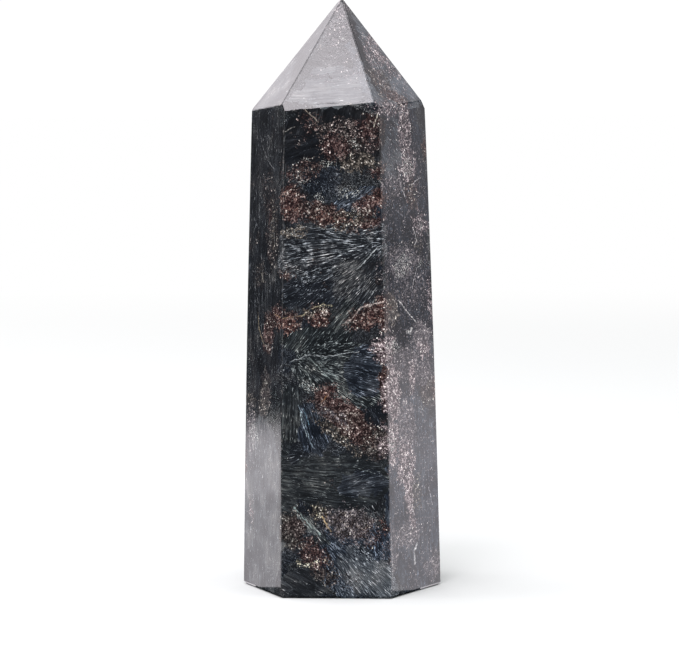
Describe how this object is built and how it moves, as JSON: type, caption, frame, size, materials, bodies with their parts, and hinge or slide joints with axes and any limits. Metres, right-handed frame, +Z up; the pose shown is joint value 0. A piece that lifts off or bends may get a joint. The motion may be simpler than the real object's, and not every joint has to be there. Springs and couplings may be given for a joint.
{
  "type": "polished mineral tower",
  "caption": "Free-standing polished tower of dark fibrous astrophyllite rock with flat sides, a faceted point and a flat base to stand on.",
  "frame": {"origin": "middle of the flat base, at the height of the surface it stands on", "axes": "+Z up along the tower's axis to the point, -Y out of the front, +X to the right seen from the front"},
  "size_m": [0.0542, 0.0482, 0.16],
  "materials": {
    "polished_rock": "polished"
  },
  "bodies": {
    "root": {"stone_tower": "polished_rock"}
  },
  "joints": []
}
